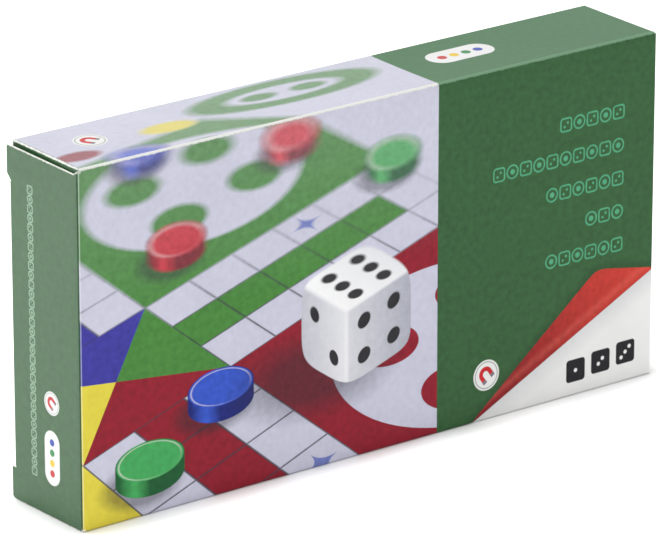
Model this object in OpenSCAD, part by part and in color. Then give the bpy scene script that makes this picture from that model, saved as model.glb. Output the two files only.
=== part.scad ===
// Tuck-end printed carton with a folding magnetic ludo board case inside it.
// Millimetres. +X runs along the box, +Y to its rear, +Z up.
// The origin is the centre of the face that the box stands on.

/* [Carton] */
// Outside length of the carton, along X
carton_length = 250; // [200:1:320]
// Outside depth of the carton, front to back
carton_depth = 40; // [38:0.5:56]
// Outside height of the carton as it stands
carton_height = 130; // [110:1:180]
// Thickness of the printed board
board_t = 0.5; // [0.35:0.05:0.6]
// Outside radius of the four long folds
long_fold_r = 0.9; // [0.7:0.1:1.6]
// Radius of the rounded crease that each end flap turns on
crease_r = 0.3; // [0.3:0.05:0.45]
// Running clearance between a crease and the panel beside it
crease_gap = 0.05; // [0.03:0.01:0.1]
// Depth of the strip glued inside the back panel
glue_flap_width = 11; // [8:0.5:11.5]

/* [End closures] */
// How far the closures stand open at rest, in degrees
ajar = 1.5; // [0:0.25:3]
// Gap between the left closure's top edge and the top face, at its crease
left_top_drop = 1.1; // [0.4:0.1:2]
// How much lower the left closure's top edge lies at its free side
left_top_slope = 1.2; // [0:0.1:4]
// Gap between the right closure's top edge and the top face
right_top_drop = 0.4; // [0.4:0.1:2]
// Gap between a closure's lower edge and the standing face
closure_bottom_gap = 0.4; // [0.3:0.1:1.5]
// Height of the lower slit-lock tab on a closure's free side
lower_tab_height = 12; // [8:0.5:18]
// Height of the upper slit-lock tab
upper_tab_height = 12; // [8:0.5:18]
// How far the slit-lock tabs stand out past the tuck crease
tab_reach = 1.5; // [1.5:0.1:4]
// Length of the tuck flap
tuck_length = 13; // [8:0.5:14]
// Inward slope of the tuck flap, in degrees
tuck_slope = 14; // [14:0.5:16]
// Clearance between the tuck crease and the back panel
tuck_gap = 0.15; // [0.1:0.05:0.4]
// Radius of the tuck flap's free corners
tuck_corner = 6; // [2:0.5:6]

/* [Dust flaps] */
// Length of the dust flaps
dust_length = 32; // [20:1:40]
// How far the dust flap creases lie inside the closure's outer face
dust_inset = 1.1; // [1.1:0.05:1.6]
// Gap between a dust flap's full-width shoulder and the tuck flap's end
shoulder_gap = 0.5; // [0.4:0.1:3]
// Room kept between a dust flap's free side and the tuck flap's sweep
dust_relief = 3.6; // [3.6:0.1:8]
// Turn of a dust flap for each degree of its closure
dust_ratio = 0.5; // [0.4:0.05:0.5]

/* [Board case] */
// Clearance between the case and the front panel
case_front_gap = 0.3; // [0.2:0.1:0.8]
// Room behind the case for the tuck flaps and the leaflet
case_back_room = 5.1; // [5.1:0.1:6]
// Room between each end of the case and the carton's end
case_end_room = 4.5; // [4.5:0.1:10]
// Room above the case
case_head_room = 3.6; // [2:0.1:6]
// Clearance under the case
case_floor_gap = 0.3; // [0.2:0.1:1]
// Wall thickness of the moulded halves
case_wall = 2; // [1.6:0.1:2.6]
// Outside corner radius of the halves
case_corner = 4; // [3:0.5:8]
// Radius of the hinge knuckles
knuckle_r = 2.5; // [2.2:0.1:3]
// Number of knuckles along the hinge, shared by both halves
knuckle_count = 7; // [3:2:11]
// Gap between neighbouring knuckles
knuckle_gap = 0.3; // [0.2:0.05:0.6]
// Radius of the hinge pin
pin_r = 1; // [0.8:0.05:1.3]
// Radial clearance of the pin in the knuckles
pin_clearance = 0.05; // [0.02:0.01:0.1]
// Thickness of the latch clip
latch_t = 1.2; // [1:0.1:2]
// Length of the latch clip along X
latch_length = 26; // [20:1:60]
// Radius of the latch clip's studs
latch_stud_r = 1.5; // [1.2:0.1:2]

/* [Play faces] */
// Width of the moulded rim round each play face
play_rim = 3.5; // [2.5:0.5:8]
// Depth of the recess for the steel and the printed sheet
play_recess = 0.8; // [0.7:0.05:1.2]
// Thickness of the steel sheet
steel_t = 0.3; // [0.2:0.05:0.4]
// Thickness of the printed play sheet
sheet_t = 0.25; // [0.15:0.05:0.3]
// Clearance round the sheets in their recess
sheet_gap = 0.25; // [0.1:0.05:0.6]

/* [Playing pieces] */
// Diameter of a counter
counter_d = 14; // [11:0.5:15]
// Thickness of a counter
counter_t = 6.5; // [5:0.25:8]
// Counters of each colour
counters_each = 4; // [2:1:4]
// Diameter of the magnet in a counter
magnet_d = 8; // [5:0.5:8.5]
// Thickness of the magnet in a counter
magnet_t = 1.6; // [1:0.1:2.5]
// Edge length of the die
die_size = 12; // [9:0.5:12]
// Wall thickness of the formed inserts
insert_t = 0.8; // [0.6:0.1:1]
// Clearance round a counter or die in its cup
cup_gap = 0.4; // [0.2:0.05:0.6]
// Room between the upper and the lower row of cups
cup_row_gap = 4; // [1:0.5:20]
// Thickness of one leaf of the rules leaflet
leaf_t = 0.2; // [0.1:0.05:0.25]
// Height of the folded rules leaflet
leaflet_height = 100; // [60:1:104]
// Room between the leaflet's ends and the tuck flaps
leaflet_clear = 3; // [2:0.5:20]

/* [Hidden] */
$fn = 48;
eps = 0.01;

// Half extents of the carton
half_l = carton_length / 2;
half_d = carton_depth / 2;

// The closure's crease stands inside the front left corner, the tuck crease inside the back panel
hinge_x = half_l - crease_r;
hinge_y = -half_d + crease_r;
tuck_y = half_d - board_t - tuck_gap - crease_r;
panel_start = crease_r + crease_gap;
sleeve_half = hinge_x - panel_start;

// Closure heights, with the tuck flap between the two tabs
closure_z0 = closure_bottom_gap;
crease_top_gap = 0.4;
crease_z1 = carton_height - crease_top_gap;
crease_rise = 2;
left_z1 = carton_height - left_top_drop;
left_z1_free = left_z1 - left_top_slope;
right_z1 = carton_height - right_top_drop;
tuck_z0 = closure_z0 + lower_tab_height;
tuck_z1 = left_z1_free - upper_tab_height;
tab_slope = 2;
slit_w = 0.5;

// Dust flap creases, and the taper that lets a flap follow its closure out
dust_x = half_l - dust_inset;
dust_taper_start = 1;
dust_side_gap = 0.5;
dust_y0 = hinge_y + dust_taper_start;
dust_y1 = half_d - board_t - dust_side_gap;
dust_y1_relief = tuck_y - dust_relief;
flat_half = dust_x - panel_start;
glue_end_gap = 2;
glue_bevel = 6;

// Board case
case_half_l = half_l - case_end_room;
case_half_t = (carton_depth - 2 * board_t - case_front_gap - case_back_room) / 2;
case_y = -half_d + board_t + case_front_gap + case_half_t;
knuckle_z = board_t + case_floor_gap + knuckle_r;
case_z0 = knuckle_z;
case_z1 = carton_height - board_t - case_head_room - latch_t;
case_mid_z = (case_z0 + case_z1) / 2;
face_t = 1.6;
inner_depth = case_half_t - face_t - play_recess;
knuckle_span = 2 * case_half_l - 2 * case_corner;
knuckle_pitch = knuckle_span / knuckle_count;
latch_stud_x = latch_length / 4;
latch_stud_y = case_half_t / 4;
latch_width = case_half_t;
latch_fit = 0.1;

// Inserts, counters and die, measured from the parting face into a half
insert_gap = 0.4;
insert_margin = 1.2;
cup_r = counter_d / 2 + cup_gap;
insert_corner = 3;
cup_land = 2;
cup_pitch = counter_d + 2 * cup_gap + 2 * insert_t + cup_land;
cup_row_z = (cup_pitch + cup_row_gap) / 2;
cup_middle = case_half_l / 2;
cup_rest = 0.1;
cup_floor = insert_gap + counter_t + 2 * cup_gap;
die_cup = die_size + 2 * cup_gap;
die_x = cup_middle - (counters_each + 1) / 2 * cup_pitch;
magnet_fit = 0.1;
pip_r = die_size / 13;

// Leaflet behind the case, short of the tuck flaps
leaflet_half = half_l - tuck_length - leaflet_clear - case_end_room;
leaflet_back_gap = 0.3;
leaflet_y = case_y + case_half_t + leaflet_back_gap;
leaf_gap = 0.1;

// A plate that stands in the plane x = x0, from an outline given as [y, z] points
module end_plate(x0, thickness, outline) {
    translate([x0, 0, 0])
        rotate([90, 0, 90])
            linear_extrude(thickness)
                polygon(outline);
}

// A rectangle in X and Z with rounded corners, extruded from y = y0 to y = y1
module slab(half_x, z0, z1, y0, y1, r) {
    translate([0, y1, 0])
        rotate([90, 0, 0])
            linear_extrude(y1 - y0)
                union() {
                    translate([-half_x + r, z0]) square([2 * half_x - 2 * r, z1 - z0]);
                    translate([-half_x, z0 + r]) square([2 * half_x, z1 - z0 - 2 * r]);
                    for (x = [-half_x + r, half_x - r], z = [z0 + r, z1 - r])
                        translate([x, z]) circle(r);
                }
}

// The sleeve's front or back panel with its two long folds, on the side y < 0
module wall_with_folds() {
    straight_z0 = long_fold_r;
    straight_z1 = carton_height - long_fold_r;
    translate([-sleeve_half, -half_d, straight_z0])
        cube([2 * sleeve_half, board_t, straight_z1 - straight_z0]);
    for (end = [[straight_z1, 0], [straight_z0, 1]])
        translate([0, -half_d + long_fold_r, end[0]])
            mirror([0, 0, end[1]])
                intersection() {
                    rotate([0, 90, 0])
                        difference() {
                            cylinder(h = 2 * sleeve_half, r = long_fold_r, center = true);
                            cylinder(h = 2 * half_l, r = long_fold_r - board_t, center = true);
                        }
                    translate([-sleeve_half, -long_fold_r, 0])
                        cube([2 * sleeve_half, long_fold_r, long_fold_r]);
                }
}

module front_panel() {
    color([0.25, 0.41, 0.26]) wall_with_folds();
}

module back_panel() {
    color([0.25, 0.41, 0.26]) mirror([0, 1, 0]) wall_with_folds();
}

// Flat panel between the long folds, cut back at both ends for the dust flap creases
module flat_panel(z0) {
    width = carton_depth - 2 * long_fold_r;
    translate([-flat_half, -width / 2, z0]) cube([2 * flat_half, width, board_t]);
}

module top_panel() {
    color([0.45, 0.58, 0.47]) flat_panel(carton_height - board_t);
}

module bottom_panel() {
    color([0.25, 0.41, 0.26]) flat_panel(0);
}

// Strip that turns up from the bottom panel and is glued to the back panel's inner face
module glue_flap() {
    half = flat_half - glue_end_gap;
    color([0.8, 0.78, 0.72])
        translate([0, half_d - board_t, 0])
            rotate([90, 0, 0])
                linear_extrude(board_t)
                    polygon([
                        [-half, long_fold_r], [half, long_fold_r],
                        [half - glue_bevel, glue_flap_width], [-half + glue_bevel, glue_flap_width]
                    ]);
}

// Turns what it holds about the left closure's crease
module about_left_hinge(angle) {
    translate([-hinge_x, hinge_y, 0])
        rotate([0, 0, angle])
            translate([hinge_x, -hinge_y, 0])
                children();
}

// End panel on its vertical crease, with a slit-lock tab at the top and the bottom.
// z1 is the top edge's height near the crease, where it rises, and z1_free that at the free side.
module closure(z1, z1_free) {
    free_y = tuck_y - panel_start;
    tab_y = tuck_y + tab_reach;
    about_left_hinge(ajar) {
        translate([-hinge_x, hinge_y, closure_z0])
            cylinder(h = crease_z1 - closure_z0, r = crease_r);
        end_plate(-half_l, board_t, [
            [hinge_y, closure_z0], [tab_y, closure_z0],
            [tab_y, tuck_z0 - slit_w], [free_y, tuck_z0 - slit_w],
            [free_y, tuck_z1 + slit_w], [tuck_y + slit_w, tuck_z1 + slit_w],
            [tab_y, tuck_z1 + slit_w + tab_slope],
            [tab_y, z1_free], [hinge_y + crease_rise, z1], [hinge_y, crease_z1]
        ]);
    }
}

// Flap on the closure's free side, which slides in behind the back panel
module tuck_flap() {
    z0 = tuck_z0;
    z1 = tuck_z1;
    about_left_hinge(ajar)
        translate([-hinge_x, tuck_y, 0])
            rotate([0, 0, -tuck_slope]) {
                translate([0, 0, z0]) cylinder(h = z1 - z0, r = crease_r);
                translate([0, crease_r, 0])
                    rotate([90, 0, 0])
                        linear_extrude(board_t)
                            union() {
                                translate([0, z0]) square([tuck_length - tuck_corner, z1 - z0]);
                                translate([0, z0 + tuck_corner])
                                    square([tuck_length, z1 - z0 - 2 * tuck_corner]);
                                for (z = [z0 + tuck_corner, z1 - tuck_corner])
                                    translate([tuck_length - tuck_corner, z]) circle(tuck_corner);
                            }
            }
}

// Flap that folds down from the top panel's end, tapered so that it can follow the closure
module dust_flap(shoulder) {
    crease_z = carton_height - crease_r;
    tip_z = crease_z - dust_length;
    shoulder_z = crease_z - shoulder;
    translate([-dust_x, dust_y0, crease_z])
        rotate([-90, 0, 0])
            cylinder(h = dust_y1 - dust_y0, r = crease_r);
    end_plate(-dust_x - crease_r, board_t, [
        [dust_y0, crease_z], [dust_y1, crease_z], [dust_y1, shoulder_z],
        [dust_y1_relief, shoulder_z], [dust_y1_relief, tip_z],
        [dust_y0 + dust_length * dust_ratio, tip_z]
    ]);
}

// Flaps from the top panel and, turned over, from the bottom panel
module upper_dust_flap() {
    dust_flap(carton_height - crease_r - tuck_z1 - shoulder_gap);
}

module lower_dust_flap() {
    translate([0, 0, carton_height])
        mirror([0, 0, 1])
            dust_flap(tuck_z0 - crease_r - shoulder_gap);
}

module left_closure() {
    color([0.43, 0.55, 0.42]) closure(left_z1, left_z1_free);
}

module left_tuck_flap() {
    color([0.43, 0.55, 0.42]) tuck_flap();
}

module left_top_dust_flap() {
    color([0.25, 0.41, 0.26]) upper_dust_flap();
}

module left_bottom_dust_flap() {
    color([0.25, 0.41, 0.26]) lower_dust_flap();
}

module right_closure() {
    color([0.43, 0.55, 0.42]) mirror([1, 0, 0]) closure(right_z1, right_z1);
}

module right_tuck_flap() {
    color([0.43, 0.55, 0.42]) mirror([1, 0, 0]) tuck_flap();
}

module right_top_dust_flap() {
    color([0.25, 0.41, 0.26]) mirror([1, 0, 0]) upper_dust_flap();
}

module right_bottom_dust_flap() {
    color([0.25, 0.41, 0.26]) mirror([1, 0, 0]) lower_dust_flap();
}

// Places a shape that is drawn with y = 0 on the parting face and y > 0 into the back half
module in_half(side) {
    translate([0, case_y, 0])
        mirror([0, side == "front" ? 1 : 0, 0])
            children();
}

// Round bar along X, used for the knuckles and for the room they turn in
module hinge_bar(x0, x1, r) {
    translate([x0, 0, knuckle_z]) rotate([0, 90, 0]) cylinder(h = x1 - x0, r = r);
}

// Every second knuckle, starting with the number given
module knuckles(first, r, grow) {
    for (i = [first : 2 : knuckle_count - 1]) {
        x0 = -knuckle_span / 2 + i * knuckle_pitch;
        hinge_bar(x0 + knuckle_gap / 2 - grow, x0 + knuckle_pitch - knuckle_gap / 2 + grow, r);
    }
}

// Shallow moulded tray, which is one half of the folding board
module case_half(first_knuckle) {
    inner_r = case_corner - case_wall;
    difference() {
        union() {
            difference() {
                slab(case_half_l, case_z0, case_z1, eps, case_half_t, case_corner);
                slab(case_half_l - case_wall, case_z0 + case_wall, case_z1 - case_wall,
                    -1, inner_depth, max(inner_r, 0.5));
                translate([-case_half_l + play_rim, case_half_t - play_recess, case_z0 + play_rim])
                    cube([2 * (case_half_l - play_rim), play_recess + 1,
                        case_z1 - case_z0 - 2 * play_rim]);
                knuckles(1 - first_knuckle, knuckle_r + knuckle_gap, knuckle_gap);
            }
            knuckles(first_knuckle, knuckle_r, 0);
        }
        hinge_bar(-case_half_l - 1, case_half_l + 1, pin_r + pin_clearance);
        for (x = [-latch_stud_x, latch_stud_x])
            translate([x, latch_stud_y, case_z1 - case_wall - 1])
                cylinder(h = case_wall + 2, r = latch_stud_r + latch_fit);
    }
}

module case_front_half() {
    color([0.16, 0.17, 0.19]) in_half("front") case_half(0);
}

module case_back_half() {
    color([0.16, 0.17, 0.19]) in_half("back") case_half(1);
}

module case_hinge_pin() {
    color([0.75, 0.76, 0.78])
        translate([0, case_y, 0])
            hinge_bar(-knuckle_span / 2, knuckle_span / 2, pin_r);
}

// Clip over the top edge, with one pair of studs for each half
module case_latch() {
    color([0.2, 0.21, 0.23]) {
        translate([-latch_length / 2, case_y - latch_width / 2, case_z1])
            cube([latch_length, latch_width, latch_t]);
        for (x = [-latch_stud_x, latch_stud_x], y = [-latch_stud_y, latch_stud_y])
            translate([x, case_y + y, case_z1 - case_wall])
                cylinder(h = case_wall + eps, r = latch_stud_r);
    }
}

// Flat sheet in a half's recess, from the given depth outwards
module recess_sheet(y0, thickness) {
    margin = play_rim + sheet_gap;
    translate([-case_half_l + margin, y0, case_z0 + margin])
        cube([2 * (case_half_l - margin), thickness, case_z1 - case_z0 - 2 * margin]);
}

module steel_plate() {
    recess_sheet(case_half_t - play_recess, steel_t);
}

module play_sheet() {
    recess_sheet(case_half_t - play_recess + steel_t, sheet_t);
}

module front_steel_plate() {
    color([0.7, 0.71, 0.73]) in_half("front") steel_plate();
}

module back_steel_plate() {
    color([0.7, 0.71, 0.73]) in_half("back") steel_plate();
}

module front_play_sheet() {
    color([0.86, 0.86, 0.88]) in_half("front") play_sheet();
}

module back_play_sheet() {
    color([0.86, 0.86, 0.88]) in_half("back") play_sheet();
}

// Centres of one colour's cups: side is -1 or 1 along X, row is -1 or 1 in height
function cup_centre(side, row, i) =
    [side * (cup_middle + (i - (counters_each - 1) / 2) * cup_pitch), case_mid_z + row * cup_row_z];

// Cylinder along Y from the parting face side into a half
module cup_body(centre, y0, y1, r) {
    translate([centre[0], y0, centre[1]]) rotate([-90, 0, 0]) cylinder(h = y1 - y0, r = r);
}

// Square block round the die, which lies half in each insert
module die_block(y0, y1, width) {
    translate([die_x - width / 2, y0, case_mid_z - width / 2])
        cube([width, y1 - y0, width]);
}

// Formed insert: a face sheet, a skirt that stands on the half's floor, a cup per counter
// and one half of the die's cup
module piece_tray(side) {
    half_x = case_half_l - case_wall - insert_margin;
    z0 = case_z0 + case_wall + insert_margin;
    z1 = case_z1 - case_wall - insert_margin;
    die_floor = die_cup / 2;
    difference() {
        union() {
            slab(half_x, z0, z1, insert_gap, insert_gap + insert_t, insert_corner);
            difference() {
                slab(half_x, z0, z1, insert_gap, inner_depth, insert_corner);
                slab(half_x - insert_t, z0 + insert_t, z1 - insert_t,
                    0, inner_depth + 1, insert_corner - insert_t);
            }
            for (row = [-1, 1], i = [0 : counters_each - 1])
                cup_body(cup_centre(side, row, i), insert_gap, cup_floor + insert_t, cup_r + insert_t);
            die_block(insert_gap, die_floor + insert_t, die_cup + 2 * insert_t);
        }
        for (row = [-1, 1], i = [0 : counters_each - 1])
            cup_body(cup_centre(side, row, i), 0, cup_floor, cup_r);
        die_block(0, die_floor, die_cup);
    }
}

module front_piece_tray() {
    color([0.9, 0.9, 0.88]) in_half("front") piece_tray(-1);
}

module back_piece_tray() {
    color([0.9, 0.9, 0.88]) in_half("back") piece_tray(1);
}

// Thick disc with bevelled rims and a shallow dish on its face, and a magnet pocket beneath
module counter() {
    r = counter_d / 2;
    bevel = counter_t / 6;
    dish_r = r * 0.7;
    dish_depth = counter_t / 12;
    difference() {
        rotate_extrude()
            polygon([
                [0, dish_depth], [dish_r, dish_depth], [dish_r + dish_depth, 0], [r - bevel, 0],
                [r, bevel], [r, counter_t - bevel], [r - bevel, counter_t], [0, counter_t]
            ]);
        translate([0, 0, counter_t - magnet_t - magnet_fit])
            cylinder(h = magnet_t + 1, r = magnet_d / 2 + magnet_fit);
    }
}

// One row of counters in their cups
module counter_row(side, row) {
    for (i = [0 : counters_each - 1]) {
        centre = cup_centre(side, row, i);
        translate([centre[0], cup_floor - cup_rest - counter_t, centre[1]])
            rotate([-90, 0, 0])
                counter();
    }
}

module red_counters() {
    color([0.72, 0.13, 0.17]) in_half("front") counter_row(-1, 1);
}

module yellow_counters() {
    color([0.93, 0.84, 0.2]) in_half("front") counter_row(-1, -1);
}

module green_counters() {
    color([0.16, 0.55, 0.3]) in_half("back") counter_row(1, 1);
}

module blue_counters() {
    color([0.15, 0.25, 0.65]) in_half("back") counter_row(1, -1);
}

// Disc magnets, one in the pocket of each counter
module magnet_rows(side) {
    for (row = [-1, 1], i = [0 : counters_each - 1])
        cup_body(cup_centre(side, row, i), cup_floor - cup_rest - magnet_t - magnet_fit,
            cup_floor - cup_rest - magnet_fit, magnet_d / 2);
}

module counter_magnets() {
    color([0.6, 0.6, 0.62]) {
        in_half("front") magnet_rows(-1);
        in_half("back") magnet_rows(1);
    }
}

// Pips of one face of the die, on the plane z = die_size / 2
module pips(count) {
    step = die_size / 4;
    places = [
        [[0, 0]],
        [[-1, -1], [1, 1]],
        [[-1, -1], [0, 0], [1, 1]],
        [[-1, -1], [-1, 1], [1, -1], [1, 1]],
        [[-1, -1], [-1, 1], [1, -1], [1, 1], [0, 0]],
        [[-1, -1], [-1, 0], [-1, 1], [1, -1], [1, 0], [1, 1]]
    ];
    for (place = places[count - 1])
        translate([place[0] * step, place[1] * step, die_size / 2 + pip_r / 3]) sphere(pip_r, $fn = 24);
}

// Cube with corners rounded by a ball, and opposite faces that add up to seven
module die() {
    corner_ball = die_size * 0.74;
    color([0.93, 0.93, 0.93])
        translate([die_x, case_y, case_mid_z - cup_gap + cup_rest])
            difference() {
                intersection() {
                    cube(die_size, center = true);
                    sphere(corner_ball);
                }
                pips(1);
                rotate([180, 0, 0]) pips(6);
                rotate([90, 0, 0]) pips(2);
                rotate([-90, 0, 0]) pips(5);
                rotate([0, 90, 0]) pips(3);
                rotate([0, -90, 0]) pips(4);
            }
}

// One folded sheet that stands on the bottom panel behind the case
module rules_leaflet() {
    floor_z = board_t + case_floor_gap;
    color([0.95, 0.95, 0.94])
        translate([-leaflet_half, leaflet_y, floor_z])
            difference() {
                cube([2 * leaflet_half, 2 * leaf_t + leaf_gap, leaflet_height]);
                translate([-1, leaf_t, leaf_t])
                    cube([2 * leaflet_half + 2, leaf_gap, leaflet_height]);
            }
}

front_panel();
back_panel();
top_panel();
bottom_panel();
glue_flap();
left_closure();
left_tuck_flap();
left_top_dust_flap();
left_bottom_dust_flap();
right_closure();
right_tuck_flap();
right_top_dust_flap();
right_bottom_dust_flap();
case_front_half();
case_back_half();
case_hinge_pin();
case_latch();
front_steel_plate();
back_steel_plate();
front_play_sheet();
back_play_sheet();
front_piece_tray();
back_piece_tray();
red_counters();
yellow_counters();
green_counters();
blue_counters();
counter_magnets();
die();
rules_leaflet();
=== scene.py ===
# %% [markdown]
# # A tuck-end game carton with a folding ludo board inside
#
# The carton is one sheet of printed board, closed at both ends by a panel that turns on a vertical crease. It
# stands on its long narrow side and holds the folded board with its counters and die. This lesson dresses the
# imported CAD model: every panel becomes a thin curved piece with white cut edges and rounded folds, and the
# print is drawn with maths instead of pictures.
#
# Lengths are in millimetres while a shape is worked out, and become metres when its mesh is made.

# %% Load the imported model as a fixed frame
import math

import bpy
import numpy as np
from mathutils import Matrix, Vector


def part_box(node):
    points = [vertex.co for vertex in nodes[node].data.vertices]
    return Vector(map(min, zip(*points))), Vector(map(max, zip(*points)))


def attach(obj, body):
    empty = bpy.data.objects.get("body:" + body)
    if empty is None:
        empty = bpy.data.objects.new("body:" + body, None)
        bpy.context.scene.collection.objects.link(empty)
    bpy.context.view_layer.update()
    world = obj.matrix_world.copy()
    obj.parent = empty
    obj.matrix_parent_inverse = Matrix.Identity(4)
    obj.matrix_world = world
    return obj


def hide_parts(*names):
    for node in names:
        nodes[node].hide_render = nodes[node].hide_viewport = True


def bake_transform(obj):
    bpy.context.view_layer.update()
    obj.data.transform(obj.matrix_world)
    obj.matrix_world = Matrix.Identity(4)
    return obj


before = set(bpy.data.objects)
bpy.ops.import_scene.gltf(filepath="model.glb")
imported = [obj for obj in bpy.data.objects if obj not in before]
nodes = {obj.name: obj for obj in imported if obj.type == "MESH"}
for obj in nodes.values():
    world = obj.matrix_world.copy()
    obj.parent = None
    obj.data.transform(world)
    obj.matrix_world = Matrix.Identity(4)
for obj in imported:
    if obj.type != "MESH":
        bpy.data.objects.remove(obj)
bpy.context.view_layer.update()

# %% [markdown]
# ## The camera, the floor and the light
#
# A product shot like this is taken with a long lens from a little above, so the upright edges stay almost
# parallel. The camera stands 2.1 metres away, turned 37 degrees round the carton and tilted down 20 degrees.
# The floor is overexposed white, under large soft lights that lay a pale haze on the laminated top. A lamp
# high above could light the carton too, but then the top would turn white, so light linking keeps it to the
# floor, where it leaves the narrow shadow at the foot.

# %% Camera
AZIMUTH, ELEVATION = math.radians(37.04), math.radians(20.07)
camera_data = bpy.data.cameras.new("studio_camera")
camera_data.sensor_width = 36.0
camera_data.lens = 328.2
camera_data.clip_start, camera_data.clip_end = 0.1, 30.0
camera = bpy.data.objects.new("studio_camera", camera_data)
camera.location = (-1.1956, -1.5779, 0.7841)
camera.rotation_euler = (math.pi / 2 - ELEVATION, 0, -AZIMUTH)
bpy.context.scene.collection.objects.link(camera)
bpy.context.scene.camera = camera
bpy.context.scene.view_settings.view_transform = "Standard"


# %% Floor, room light, soft boxes and floor lamp
def new_material(name, roughness, gloss=0.5):
    """A material with its node tree and its shader, ready for nodes."""
    material = bpy.data.materials.new(name)
    material.use_nodes = True
    shader = material.node_tree.nodes["Principled BSDF"]
    shader.inputs["Roughness"].default_value = roughness
    shader.inputs["Specular IOR Level"].default_value = gloss
    return material, material.node_tree, shader


FLOOR_HALF = 6.0
ROOM_LIGHT = 0.72
floor_mesh = bpy.data.meshes.new("studio_floor")
floor_corners = [(x * FLOOR_HALF, y * FLOOR_HALF, 0) for x, y in ((-1, -1), (1, -1), (1, 1), (-1, 1))]
floor_mesh.from_pydata(floor_corners, [], [(0, 1, 2, 3)])
floor = bpy.data.objects.new("studio_floor", floor_mesh)
paper, _, paper_shader = new_material("studio_floor_paper", 0.9, 0.0)
paper_shader.inputs["Base Color"].default_value = (0.93, 0.93, 0.93, 1)
floor_mesh.materials.append(paper)
bpy.context.scene.collection.objects.link(floor)

world = bpy.data.worlds.new("white_room")
world.use_nodes = True
world.node_tree.nodes["Background"].inputs["Color"].default_value = (1, 1, 1, 1)
world.node_tree.nodes["Background"].inputs["Strength"].default_value = ROOM_LIGHT
bpy.context.scene.world = world


def soft_box(name, place, target, size, power):
    """A square area light at place that faces target, both in metres."""
    data = bpy.data.lights.new(name, "AREA")
    data.shape, data.size, data.energy = "SQUARE", size, power
    light = bpy.data.objects.new(name, data)
    light.location = place
    direction = np.array(target, float) - np.array(place, float)
    flat = math.hypot(direction[0], direction[1])
    light.rotation_euler = (math.atan2(flat, -direction[2]), 0, math.atan2(-direction[0], direction[1]))
    bpy.context.scene.collection.objects.link(light)
    return light


soft_box("top_soft_box", (0.1, 0.25, 2.2), (0, 0, 0.06), 1.6, 10)
soft_box("rear_soft_box", (1.0, 1.35, 0.76), (0, 0, 0.1), 1.2, 2.3)
floor_only = bpy.data.collections.new("floor_only")
floor_only.objects.link(floor)
floor_lamp = soft_box("floor_lamp", (0.0, 0.1, 4.0), (0, 0, 0), 0.28, 86)
floor_lamp.light_linking.receiver_collection = floor_only
soft_box("left_floor_soft_box", (-0.62, 0.62, 0.7), (-0.32, 0.3, 0), 0.6, 4)

# %% [markdown]
# ## Thin pieces of box board
#
# Real box board is half a millimetre thick, printed outside, grey-white inside and white where it is cut.
# A plane with a Solidify modifier would do, but the print would have to guess which way it unrolls. Here each
# piece is a grid of points for its outer face and one for its inner face, joined round the rim, and every
# point keeps its place on the flat sheet, in millimetres, so the print runs over the folds.

# %% One piece of board from two grids of points
low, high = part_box("front_panel")
HALF_DEPTH, HEIGHT = round(-low.y * 1000, 3), round(high.z * 1000, 3)
HALF_LENGTH = 125.0
BOARD = 0.5
FOLD = 1.1


def grid_of(x, y, z):
    """A grid of points from coordinates that each have one row, one column or a whole grid of values."""
    return np.stack(np.broadcast_arrays(x, y, z), -1)


def board_piece(name, outer, inner, sheet, materials, body, cad=()):
    """A piece of board between two grids of points, which rides on a body and stands for CAD nodes.

    A face joins the points (i, j), (i+1, j), (i+1, j+1) and (i, j+1) of its grid, and the rim joins both
    grids round their border. sheet holds the place of every point on the flat print.
    """
    rows, columns = outer.shape[:2]
    count = rows * columns
    index = np.arange(count).reshape(rows, columns)
    quads = np.stack([index[:-1, :-1], index[1:, :-1], index[1:, 1:], index[:-1, 1:]], -1).reshape(-1, 4)
    border = np.concatenate([index[:-1, 0], index[-1, :-1], index[:0:-1, -1], index[0, :0:-1]])
    following = np.roll(border, -1)
    rim = np.stack([following, border, border + count, following + count], -1)
    faces = np.concatenate([quads, quads[:, ::-1] + count, rim])
    i, j = rows // 2, columns // 2
    normal = np.cross(outer[i, j] - outer[i - 1, j], outer[i, j] - outer[i, j - 1])
    if np.dot(normal, outer[i, j] - inner[i, j]) < 0:
        faces = faces[:, ::-1]
    which = np.repeat([0, 1, 2], [len(quads), len(quads), len(rim)])
    points = np.concatenate([outer.reshape(-1, 3), inner.reshape(-1, 3)])
    flat = grid_of(*sheet, 0.0).reshape(-1, 3)
    mesh = bpy.data.meshes.new(name)
    mesh.from_pydata((points * 0.001).tolist(), [], faces.tolist())
    for material in materials:
        mesh.materials.append(material)
    mesh.polygons.foreach_set("material_index", which.astype(np.int32))
    mesh.shade_smooth()
    mesh.set_sharp_from_angle(angle=math.radians(35))
    place = mesh.attributes.new("print_place", "FLOAT_VECTOR", "POINT")
    place.data.foreach_set("vector", np.tile(flat, (2, 1)).astype(np.float32).ravel())
    piece = bpy.data.objects.new(name, mesh)
    bpy.context.scene.collection.objects.link(piece)
    if body:
        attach(piece, body)
    if cad:
        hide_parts(*cad)
    return piece


def turned(points, pivot, degrees):
    """Points turned about an upright line through pivot (x, y), anticlockwise seen from above."""
    angle = np.radians(degrees)
    x, y = points[..., 0] - pivot[0], points[..., 1] - pivot[1]
    cos, sin = np.cos(angle), np.sin(angle)
    return np.stack([pivot[0] + x * cos - y * sin, pivot[1] + x * sin + y * cos, points[..., 2]], -1)


def smooth_step(t):
    """The even ease from 0 to 1, 3t^2 - 2t^3, which the frame's own bending also uses."""
    t = np.clip(t, 0, 1)
    return t * t * (3 - 2 * t)


def steps(*stops):
    """Rows of a grid: numbers of even steps between stops, given as start, count, next stop, count, ..."""
    rows = []
    for start, count, stop in zip(stops[::2], stops[1::2], stops[2::2]):
        rows.append(np.linspace(start, stop, count, endpoint=False))
    return np.concatenate(rows + [stops[-1:]])


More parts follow.
